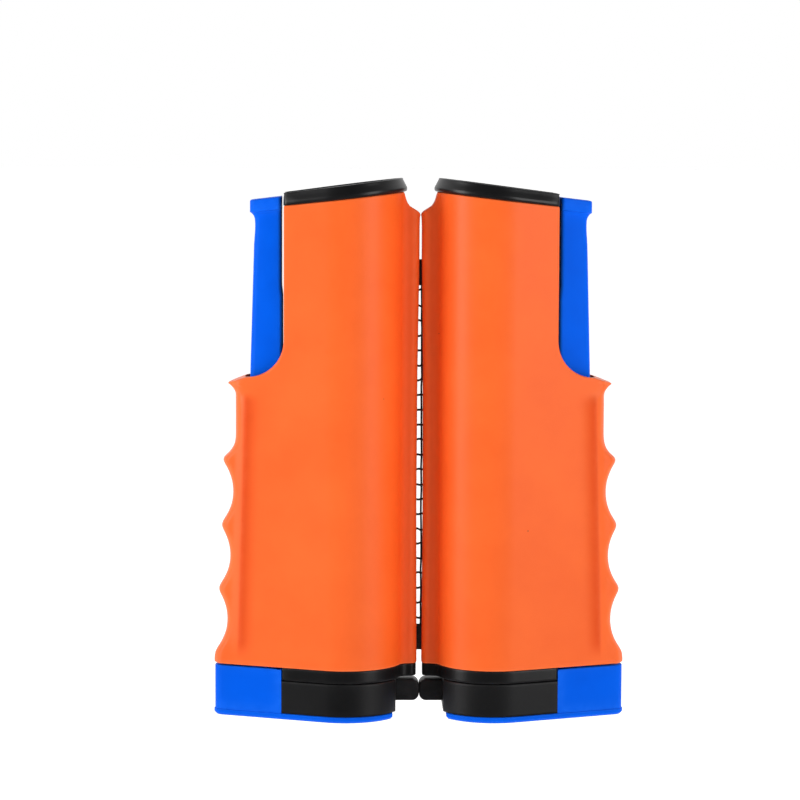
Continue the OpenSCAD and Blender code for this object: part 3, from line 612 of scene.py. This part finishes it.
# The orange's darker colour in the hollows is painted shade
orange = moulded_plastic(
    "orange_shell", (0.87, 0.118, 0.014), (0.91, 0.135, 0.018), (0.96, 0.24, 0.09), roughness=0.40,
    grain_mm=0.30, wave=0.6, bump=0.22, rubbed_and_highlit=0.3, specular=0.19, speck=(0.22, 0.03, 0.01),
    painted_shade_colour=(0.70, 0.056, 0.002),
)
BOSS_X, BOSS_R, SCREW_HEAD_R = 47.0, 3.2, 2.3
boss_places = [(BOSS_X, z) for z in (40.0, 108.9, 177.8)]
half_shell = mesh_object("right_shell_front", *half_form(), orange)
chamber = mirrored_loop(np.concatenate([
    barrel_arc(180, 40, WALL)[0], side_line(np.array([UPRIGHT_X - WALL]), WALL)
]))
room = mesh_object("room", *prism(chamber, SHELL_Z + WALL, BULKHEAD_Z), orange, smooth=False)
for at in boss_places[:2]:
    cut(room, "DIFFERENCE", *rod_along_y(*at, -25, 25, BOSS_R))
cut(half_shell, "DIFFERENCE", *taken(room))
cut(half_shell, "DIFFERENCE", *prism(chamber, BULKHEAD_Z + WALL, 215))
net_slot = np.array([[-2, -1.2], [12, -1.2], [12, 1.2], [-2, 1.2]])
cut(half_shell, "DIFFERENCE", *prism(net_slot, SHELL_Z + WALL, BULKHEAD_Z))
well = mirrored_loop(ended(UPRIGHT_X + 0.02, WELL_END_X, WALL, 3.6))
cut(half_shell, "DIFFERENCE", *prism(well, 12, 143.6))

back_half = mirrored_copy("right_shell_back", half_shell, flip_y=True)
screw_seats = [(at, side_y(BOSS_X) - 2.3) for at in boss_places] + [((70.0, 23.35), 2.4), ((4.4, 182.0), 2.4)]
for (x, z), seat in screw_seats:
    cut(back_half, "DIFFERENCE", *rod_along_y(x, z, seat, 30, SCREW_HEAD_R))
for piece in (half_shell, back_half):
    finish_piece(piece)
shells = {
    "right_front_shell": half_shell,
    "right_back_shell": back_half,
    "left_front_shell": mirrored_copy("left_shell_front", half_shell, flip_x=True),
    "left_back_shell": mirrored_copy("left_shell_back", back_half, flip_x=True),
}
for node, piece in shells.items():
    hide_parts(node)
    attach(piece, node.split("_")[0] + "_post")


# --- Black caps ------------
# A glossy black lid closes the slanted top of each post. It is moulded with drafted sides that widen down to
# a thin lip and tuck in again under it, and a skirt on its underside clips into the shells.
def loft(name, rings, material, ends=True):
    """A closed tube through rings of points; its ends are shut by a face each, or meet in one ring."""
    rings = np.asarray(rings, float)
    sides, shut = tube_faces(*rings.shape[:2])
    made = mesh_object(name, rings.reshape(-1, 3), sides + shut if ends else sides, material)
    turn_outwards(made)
    return made


def ring_directions(outline):
    """Outward directions of a closed outline: across the line from the point before to the point after."""
    along = np.roll(outline, -1, axis=0) - np.roll(outline, 1, axis=0)
    along /= np.linalg.norm(along, axis=1)[:, None]
    return np.stack([along[:, 1], -along[:, 0]], 1)


def dress_both(right_piece, left_name, node, body, angle=50):
    """Finishes a right-hand piece and puts it and its mirror image in the place of both posts' solids."""
    finish_piece(right_piece, angle)
    for side, piece in (("right", right_piece), ("left", mirrored_copy(left_name, right_piece, flip_x=True))):
        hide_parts(side + node)
        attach(piece, side + body)


black_cap = moulded_plastic(
    "black_cap", (0.0045, 0.0045, 0.005), (0.0065, 0.0065, 0.007), (0.016, 0.016, 0.017), roughness=0.34,
    grain_mm=0.25, wave=1.0, bump=0.12, rubbed_and_highlit=0.35, specular=0.3,
)
# The lid's plan: the barrel without its neck, up to a flat end with rounded corners
lid = mirrored_loop(np.concatenate([
    barrel_arc(180, 52)[0], side_line(np.linspace(38, 48, 6)), ended(49.0, UPRIGHT_X, 0.0, 1.2, 7),
    np.column_stack([np.full(8, UPRIGHT_X), np.linspace(-10.5, 0.0, 8)]),
]))
lid_away = ring_directions(lid)
lid_middle = np.array([28.0, 0.0])


def lid_ring(out, rise, shrink=None):
    """One ring of the cap: the lid's outline moved outwards and raised above the slanted plane.

    In words: the flat end is held near the shells' upright and follows only 0.3 of the draft, the round end
    is drawn in by up to 0.45 mm as a square, and the crown's rings are shrunk towards the lid's middle.
    """
    drafted = rise > 0.06
    plan = lid + lid_away * out
    end_x = UPRIGHT_X + 0.1 + min(out, 0.0) * (0.3 if drafted else 1.0)
    plan[:, 0] += np.clip((lid[:, 0] - 46.0) / 3.8, 0, 1) * (end_x - UPRIGHT_X - out)
    plan[:, 0] -= (0.45 if drafted else 0.0) * np.clip((20.0 - lid[:, 0]) / 13.7, 0, 1) ** 2
    if shrink is not None:
        plan = lid_middle + (plan - lid_middle) * shrink
    height = rise * (1 + 0.003 * (UPRIGHT_X - plan[:, 0]))
    return np.column_stack([plan, top_z(plan[:, 0]) + height])


# Pairs of out and rise, from the inside of the skirt round its lower end and up to the lip, then up the
# drafted side and over the raised rim; the crown's pairs are shrink and rise
skirt = [(-4.6, 0.06), (-4.6, -3.9), (-4.4, -4.0), (-2.6, -4.0), (-2.4, -3.8), (-2.35, 0.05), (-0.75, 0.05)]
lip = [(0.2, 0.08), (0.55, 0.25), (0.74, 0.55), (0.78, 0.95), (0.75, 1.35), (0.55, 1.75), (-0.1, 2.9)]
raised_rim = [(-0.72, 4.0), (-0.82, 4.35), (-0.98, 4.58), (-1.25, 4.7), (-1.9, 4.7), (-2.05, 4.62),
              (-2.15, 4.32), (-2.3, 4.24)]
crown = [(0.86, 0.02), (0.6, 0.05), (0.3, 0.08), (0.05, 0.09)]
cap_rings = [lid_ring(-4.6, 0.06, 0.3)] + [lid_ring(*at) for at in skirt + lip + raised_rim]
cap_rings += [lid_ring(-2.3, 4.24 + rise, shrink) for shrink, rise in crown]
right_cap = loft("right_cap", cap_rings, black_cap)
dress_both(right_cap, "left_cap", "_top_cap", "_post")


# --- Upper jaw plates ------------
# The plate under each post's shells lies on the table top. It is satin black plastic, a little smaller than
# the shells all round, so that their rim throws a thin shadow on it.
def edged(loop, low, high, radius, inset):
    """Rings of an upright block over an outline: straight sides, with a round of a radius at both rims."""
    away = ring_directions(loop)
    a = np.radians([90, 60, 30, 0])
    out = -inset - radius * (1 - np.cos(a))
    rise = radius * (1 - np.sin(a))
    levels = [(o, low + r) for o, r in zip(out, rise)]
    levels += [(-inset, z) for z in np.linspace(low + radius + 0.5, high - radius - 0.5, 8)]
    levels += [(o, high - r) for o, r in zip(out[::-1], rise[::-1])]
    return [np.insert(loop + away * o, 2, z, axis=1) for o, z in levels]


black_jaw = moulded_plastic(
    "black_jaw", (0.004, 0.004, 0.0044), (0.006, 0.006, 0.0064), (0.03, 0.03, 0.031), roughness=0.38,
    grain_mm=0.4, wave=0.8, bump=0.35, rubbed_and_highlit=0.5, specular=0.22,
)
plan, _ = neck_and_barrel(47.0)
plate_end = 51.85
plate_loop = mirrored_loop(np.concatenate([
    plan, ended(49.0, plate_end, 0.0, 0.8, 5), [[plate_end, -6.0], [plate_end, 0.0]],
]))
right_plate = loft("right_jaw_plate", edged(plate_loop, 14.9, 19.68, radius=0.45, inset=0.35), black_jaw)
dress_both(right_plate, "left_jaw_plate", "_upper_jaw_plate", "_post")


# --- Lower jaw pads ------------
# The block that presses on the table from below sits on the slider's sole. It is black rubbery plastic with
# soft rims, and a tab with a round nose reaches in under the neck.
def tab_ring(y, inset):
    """The tab's outline seen from the front at a depth: a rectangle whose corners at the tip are round."""
    low, high, tip, nose, root_x = 5.6 + inset, 13.6 - inset, 0.04 + inset, 2.6 - inset, 11.5
    under = arc((tip + nose, low + nose), nose, 270, 180, 8)[0]
    over = arc((tip + nose, high - nose), nose, 180, 90, 8)[0]
    outline = np.concatenate([[[root_x, low]], under, over, [[root_x, high]]])
    return np.insert(outline, 1, y, axis=1)


def from_chord(x, count):
    """The barrel's arc from where an upright chord at a distance meets it to the straight side."""
    return barrel_arc(360 - math.degrees(math.acos((x - BARREL_X) / BARREL_R)), count)[0]


black_pad = moulded_plastic(
    "black_pad", (0.0045, 0.0045, 0.005), (0.0065, 0.0065, 0.007), (0.026, 0.026, 0.027), roughness=0.48,
    grain_mm=0.5, wave=0.8, bump=0.5, rubbed_and_highlit=0.4, specular=0.24,
)
pad_start, pad_end = 8.6, 52.2
pad_front = np.concatenate([
    [[pad_start, 0.0], [pad_start, -5.0]], from_chord(pad_start, 40), side_line(np.linspace(38, 50, 7)),
    ended(51.0, pad_end, 0.0, 0.4, 4), [[pad_end, -6.0], [pad_end, 0.0]],
])
pad_rings = edged(mirrored_loop(pad_front), 2.32, 14.6, radius=0.5, inset=0.35)
right_pad = loft("right_jaw_pad", pad_rings, black_pad)
tab_levels = [(-4.4, 0.45), (-4.26, 0.13), (-3.95, 0), (3.95, 0), (4.26, 0.13), (4.4, 0.45)]
cut(right_pad, "UNION", *taken(loft("tab", [tab_ring(y, inset) for y, inset in tab_levels], black_pad)))
dress_both(right_pad, "left_jaw_pad", "_lower_jaw_pad", "_slider")


# --- Blue sliders ------------
# Thumb flange, column, foot and sole are one blue moulding. The column is drafted and its flange flares out
# of it in a hollow curve; the sole stands a hair proud of the foot and is bevelled underneath. A pocket in
# the column's inner side holds the spring.
SLIDER_INSET, COLUMN_X, DRAFT = 2.8, 63.7, 1.9


def column_ring(x_out, inset, z_of, inner):
    """One level of the column: its plan between the inner face and an outer face, at a height given by x."""
    outer_r, inner_r = 3.0, 1.0
    outer_corner = (x_out - outer_r, -side_y(x_out - outer_r, inset + outer_r))
    inner_corner = (inner + inner_r, -side_y(inner + inner_r, inset + inner_r))
    between = np.linspace(inner + 2.4, outer_corner[0] - 1.3, 4)
    loop = mirrored_loop(np.concatenate([
        [[inner, 0.0]], arc(inner_corner, inner_r, 180, 270 + SLANT, 8)[0], side_line(between, inset),
        arc(outer_corner, outer_r, SLANT - 90, 0, 9)[0], [[x_out, 0.0]],
    ]))
    return np.column_stack([loop, z_of(loop[:, 0])])


def face_x(z):
    """The column's outer face: upright in the well, then drawn in by the draft up to the flange."""
    return COLUMN_X - DRAFT * np.clip((z - 128.5) / 62.8, 0, 1)


def inner_x(z):
    """The column's inner face: close to the shells low down, and set back from them towards the flange."""
    return 51.54 + 0.41 * float(smooth_step((z - 158.0) / 5.0))


blue = moulded_plastic(
    "blue_slider", (0.0, 0.086, 0.66), (0.0, 0.103, 0.745), (0.02, 0.18, 0.88), roughness=0.36,
    grain_mm=0.30, wave=0.6, bump=0.2, rubbed_and_highlit=0.28, specular=0.02,
)
column = [
    column_ring(face_x(z), SLIDER_INSET, lambda x, z=z: np.full_like(x, z), inner_x(z))
    for z in np.concatenate([np.linspace(8, 156, 26), np.linspace(158, 163, 5), np.linspace(166, 178, 4)])
]
# How far each ring lies under the flange's top, and how far it stands out of the column endwise and sideways
flare = [(11.0, 0, 0), (9.0, 0, 0), (8.2, 0.02, 0), (7.4, 0.1, 0), (6.6, 0.3, 0.0), (5.9, 0.62, 0.02),
         (5.3, 1.05, 0.1), (4.9, 1.45, 0.28), (4.68, 1.72, 0.55), (4.6, 1.86, 0.9), (4.55, 1.9, 1.25),
         (4.45, 1.9, 1.42), (4.25, 1.9, 1.5), (0.6, 1.9, 1.5), (0.3, 1.84, 1.44), (0.1, 1.68, 1.28),
         (0.0, 1.4, 1.0)]
column += [
    column_ring(COLUMN_X - DRAFT + end, SLIDER_INSET - side, lambda x, d=down: top_z(x) + 3.4 - d, 51.95)
    for down, end, side in flare
]
right_slider = loft("right_slider", column, blue)


def whole_loop(from_x, corner):
    """Closed plan from a flat inner end out to the round outer end of the base."""
    if from_x < BARREL_X:
        round_side = from_chord(from_x, 44)
        first = np.concatenate([[[from_x, 0.0], [from_x, round_side[0, 1] + 3]], round_side])
    else:
        past = from_x + corner
        first = np.array([[from_x, 0.0], [from_x, -side_y(from_x) + corner], [past, -side_y(past)]])
    x = np.linspace(max(first[-1, 0] + 2, 38.0), 72.0, 12)
    return mirrored_loop(np.concatenate([first, side_line(x), arc((END_X, 0), END_R, SLANT - 90, 0, 12)[0]]))


foot_rings = edged(whole_loop(51.55, 0.4), 0.6, 19.05, radius=0.5, inset=0.35)
sole_loop = whole_loop(10.1, 0.5)
sole_away = ring_directions(sole_loop)
sole_levels = [(-1.1, 0.0), (-0.85, 0.06), (-0.1, 0.85), (0.0, 1.0), (0.0, 1.2), (0.0, 1.8), (0.0, 1.95),
               (-0.08, 2.18), (-0.3, 2.3)]
sole_rings = [np.insert(sole_loop + sole_away * out, 2, z, axis=1) for out, z in sole_levels]
for name, rings in (("foot", foot_rings), ("sole", sole_rings)):
    cut(right_slider, "UNION", *taken(loft(name, rings, blue)))
pocket = mirrored_loop(ended(50.0, COLUMN_X - DRAFT, 5.0, 1.0, 5))
cut(right_slider, "DIFFERENCE", *prism(pocket, 24.0, 117.8))
dress_both(right_slider, "left_slider_piece", "_clamp_slider", "_slider", angle=40)


# --- Springs ------------
# A compression spring in each slider's pocket pushes the jaws shut, and a torsion spring inside the roller's
# tube winds the net in. Both are drawn from round steel wire.
def steel_wire(name, roughness, tint):
    """Drawn or turned steel: metal with a slightly uneven tone and gloss and a very fine grain."""
    material, tree, shader = new_material(name)
    surface = placed(tree, skin, {"Grain size mm": 0.15, "Wave": 0.4})
    feed(shader, {
        "Base Color": ramp(tree, surface["Tone"], (0.3, tuple(0.86 * c for c in tint)), (0.7, tint)),
        "Roughness": maths(tree, "ADD", times(tree, surface["Tone"], 0.14), roughness - 0.07),
        "Metallic": 1.0, "Normal": relief(tree, surface["Height"], 0.25, 0.00003),
    })
    return material


def tube_along(path, radius, sides):
    """Rings of a round tube carried along a path: each ring stands across the line through its neighbours."""
    along = np.gradient(path, axis=0)
    along /= np.linalg.norm(along, axis=1)[:, None]
    up = np.where(np.abs(along[:, 2:]) > 0.9, [[1.0, 0, 0]], [[0, 0, 1.0]])
    across = np.cross(along, up)
    across /= np.linalg.norm(across, axis=1)[:, None]
    over = np.cross(across, along)
    a = np.linspace(0, 2 * math.pi, sides, endpoint=False)[None, :, None]
    return path[:, None] + radius * (np.cos(a) * across[:, None] + np.sin(a) * over[:, None])


def coil_path(x, mean_r, low, high, turns, steps):
    """A helix round an upright axis whose first and last turns lie almost flat."""
    t = np.linspace(0, 1, int(turns * steps) + 1)
    climb = t + np.sin(2 * math.pi * t) * -0.06
    a = t * turns * 2 * math.pi
    return np.column_stack([x + mean_r * np.cos(a), mean_r * np.sin(a), low + (high - low) * climb])


spring_steel = steel_wire("spring_steel", 0.3, (0.62, 0.63, 0.65))
plain_steel = steel_wire("plain_steel", 0.26, (0.70, 0.71, 0.73))
for side, sign in (("right", 1), ("left", -1)):
    path = coil_path(56.85, 3.6, 31.6, 117.2, turns=14, steps=20) * [sign, 1, 1]
    coil = loft(side + "_spring", tube_along(path, 0.5, 8), spring_steel)
    finish_piece(coil, 80)
    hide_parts(side + "_clamp_spring")
    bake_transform(coil)
path = coil_path(-BARREL_X, 3.0, 30.4, 167.5, turns=30, steps=16)
winder = loft("return_winder", tube_along(path, 0.45, 6), spring_steel)
finish_piece(winder, 80)
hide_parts("return_spring")
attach(winder, "left_post")


# --- Screws, shaft and rod ------------
# Zinc-plated screws from the back hold the halves together, and a ground steel shaft and rod carry the
# roller and the net's end. They keep their solid shapes.
def dress_solids(material, *nodes):
    """Gives solids that keep their shapes a material."""
    for node in nodes:
        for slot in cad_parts[node].material_slots:
            slot.material = material


zinc = steel_wire("zinc_screw", 0.34, (0.56, 0.55, 0.52))
dress_solids(zinc, "left_shell_screws", "left_edge_screws", "right_shell_screws", "right_edge_screws")
dress_solids(plain_steel, "roller_shaft", "net_anchor_rod")


# --- Roller, plugs, bushes and spring seats ------------
# The roller's tube and its bushes are natural white acetal, and its plugs and the pegs that the clamp
# springs stand on are black nylon.
white_acetal = moulded_plastic(
    "white_acetal", (0.74, 0.74, 0.71), (0.80, 0.80, 0.78), (0.86, 0.86, 0.84), roughness=0.42,
    grain_mm=0.3, wave=0.5, bump=0.2, rubbed_and_highlit=0.2,
)
black_nylon = moulded_plastic(
    "black_nylon", (0.014, 0.014, 0.015), (0.02, 0.02, 0.021), (0.05, 0.05, 0.05), roughness=0.5,
    grain_mm=0.4, wave=0.5, bump=0.3, rubbed_and_highlit=0.2,
)
dress_solids(white_acetal, "roller_tube", "lower_shaft_bush", "upper_shaft_bush")
dress_solids(black_nylon, "lower_roller_plug", "upper_roller_plug", "left_spring_seat", "right_spring_seat")


# --- Net ------------
# A black nylon net 148 mm high with a woven tape along each edge. One end is looped round the rod in the
# right post and the rest is wound on the roller in the left one, ready to be pulled out to 1.7 m.
NET_Z, NET_TOP, TAPE_W, TRAVEL = 24.4, 172.3, 9.8, 1700.0
STILL_X, FREE_X = -9.5, -1.0
CORD_R, CORD_PITCH = 0.42, 5.63
rng = np.random.default_rng(7)


def cord_black(name, thread_scale):
    """Black nylon: fine twisted threads as a wave pattern, and fibres that catch a little light."""
    material, tree, shader = new_material(name)
    wave = tree.nodes.new("ShaderNodeTexWave")
    wave.wave_type, wave.bands_direction = "BANDS", "Z"
    threads = feed(wave, {
        "Vector": own_place(tree), "Scale": thread_scale, "Distortion": 1.5, "Detail": 2.0,
    })["Fac"]
    feed(shader, {
        "Base Color": ramp(tree, threads, (0.2, (0.006, 0.006, 0.007)), (0.8, (0.022, 0.021, 0.022))),
        "Roughness": 0.72, "Sheen Weight": 0.25, "Sheen Roughness": 0.5,
        "Normal": relief(tree, threads, 0.6, 0.00008),
    })
    return material


def lattice(*values):
    """A grid of points: arrays of their coordinates, each spread to the grid's shape."""
    return np.stack(np.broadcast_arrays(*values), 2)


net_black = cord_black("net_cord", 900.0)
tape_black = cord_black("net_tape", 420.0)


def drawn_out(x):
    """Where a point of the stored net lies once it is out: x plus its smooth-step share of the travel."""
    return x + smooth_step((x - STILL_X) / (FREE_X - STILL_X)) * TRAVEL


def stored(x):
    """The reverse of drawn_out, read off a fine table."""
    table = np.linspace(STILL_X - 2, 12, 60001)
    return np.interp(x, drawn_out(table), table)


def many_tubes(name, paths, radii, sides, material):
    """Closed tubes in one mesh: paths is (tubes, points, 3), radii across and up is (tubes, points, 2)."""
    tubes, steps = paths.shape[:2]
    along = np.gradient(paths, axis=1)
    level = np.abs(along[..., 0]) > np.abs(along[..., 2])
    first = np.where(level[..., None], [0.0, 1.0, 0.0], [1.0, 0.0, 0.0])
    second = np.where(level[..., None], [0.0, 0.0, 1.0], [0.0, 1.0, 0.0])
    a = (np.arange(sides) + 0.5) * 2 * math.pi / sides
    points = paths[:, :, None] + first[:, :, None] * (np.cos(a)[:, None] * radii[:, :, None, :1])
    points += second[:, :, None] * (np.sin(a)[:, None] * radii[:, :, None, 1:])
    faces, ends = tube_faces(steps, sides, tubes)
    made = mesh_object(name, points.reshape(-1, 3), faces + ends, material)
    turn_outwards(made)
    return made


# Level cords: from the wound roll through both necks to the rod, a little slack between the posts
level_count = 23
heights = NET_Z + TAPE_W + 2.55 + CORD_PITCH * np.arange(level_count)
roll_x, roll_y, rod_x = -14.48, -8.5, 9.6
line_x = np.concatenate([[roll_x], np.linspace(-10.5, STILL_X, 3), np.linspace(STILL_X, FREE_X, 14)[1:],
                         np.linspace(FREE_X, 1.4, 9)[1:], np.linspace(2.2, rod_x, 6)])
line_y = np.interp(line_x, [roll_x, -9.9, rod_x], [roll_y, 0, 0])
slack = np.exp(-((line_x[None] - 0.2) / 1.0) ** 2)
tilt = rng.uniform(-0.55, 0.55, (level_count, 1)) * np.clip(line_x[None] / 0.9, -1, 1) * slack
level_paths = lattice(
    line_x, line_y + slack * rng.uniform(-0.15, 0.15, (level_count, 1)),
    heights[:, None] + tilt + slack * rng.uniform(-0.35, 0.35, (level_count, 1)),
)
# Upright cords that show: three in the right neck and one at its mouth
shown_x = np.array([0.62, 3.0, 5.8, 8.6])
climb = np.linspace(NET_Z + TAPE_W - 1, NET_TOP - TAPE_W + 1, len(line_x))
wander = rng.uniform(-0.12, 0.12, (len(shown_x), len(line_x)))
web_paths = np.concatenate([level_paths, lattice(shown_x[:, None] + wander, 0.3, climb)])
web = many_tubes("net_web_cords", web_paths, np.full(web_paths.shape[:2] + (2,), CORD_R), 6, net_black)
finish_piece(web, 80)

# Upright cords that are wound in: one at each mesh, squeezed into the left neck until the net is pulled
uprights = np.arange(1, int(TRAVEL / CORD_PITCH)) * CORD_PITCH + drawn_out(np.array(STILL_X))
store_x = stored(uprights)
squeezed = np.gradient(store_x, uprights) * CORD_R
store_paths = lattice(store_x[:, None], 0.28, np.linspace(climb[0], climb[-1], 4))
store_radii = lattice(squeezed[:, None], np.full(4, CORD_R))
wound_uprights = many_tubes("net_upright_cords", store_paths, store_radii, 4, net_black)


def tape(name, low, high):
    """A woven tape with rolled edges along the net: a thin strip carried along the net's line."""
    strip = np.array([[-0.28, 0.3], [-0.45, 0.8], [-0.45, 9.0], [-0.28, 9.5], [0.28, 9.5], [0.45, 9.0],
                      [0.45, 0.8], [0.28, 0.3]])
    z = low + (strip[:, 1] - 0.3) / 9.2 * (high - low)
    direction = np.gradient(np.column_stack([line_x, line_y]), axis=0)
    direction /= np.linalg.norm(direction, axis=1)[:, None]
    x, y = line_x[:, None] - direction[:, 1:] * strip[:, 0], line_y[:, None] + direction[:, :1] * strip[:, 0]
    made = loft(name, lattice(x, y, z), tape_black)
    finish_piece(made, 80)
    return made


top_tape = tape("net_top_tape", NET_TOP - TAPE_W, NET_TOP)
bottom_tape = tape("net_bottom_tape", NET_Z, NET_Z + TAPE_W)
for piece in (web, wound_uprights, top_tape, bottom_tape):
    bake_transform(piece)
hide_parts("net_web")
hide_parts("top_net_tape")
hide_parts("bottom_net_tape")

# The roll: many turns of net with the two tapes building up into bands at its ends
turn_a = np.linspace(0, 2 * math.pi, 96, endpoint=False)
roll_z = np.concatenate([
    np.linspace(NET_Z, NET_Z + TAPE_W, 9), np.linspace(34.6, 162.1, 60),
    np.linspace(NET_TOP - TAPE_W, NET_TOP, 9),
])
on_web = (roll_z > NET_Z + 10) & (roll_z < NET_TOP - 10)
corded = 14.5 + 0.18 * np.cos(2 * math.pi * (roll_z - heights[0]) / CORD_PITCH)
roll_r = np.where(on_web, corded, 15.0)[:, None] + 0.12 * np.sin(3 * turn_a + roll_z[:, None] * 0.05)
outside = lattice(-BARREL_X + roll_r * np.cos(turn_a), roll_r * np.sin(turn_a), roll_z[:, None])
bore_r = 7.06
bore = np.stack([-BARREL_X + bore_r * np.cos(turn_a), bore_r * np.sin(turn_a)], 1)
inside = carried(bore, 2, (NET_TOP, NET_Z))
roll = loft("wound_roll", np.concatenate([outside, inside, outside[:1]]), net_black, ends=False)
finish_piece(roll, 50)
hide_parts("wound_net")
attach(roll, "net_roller")
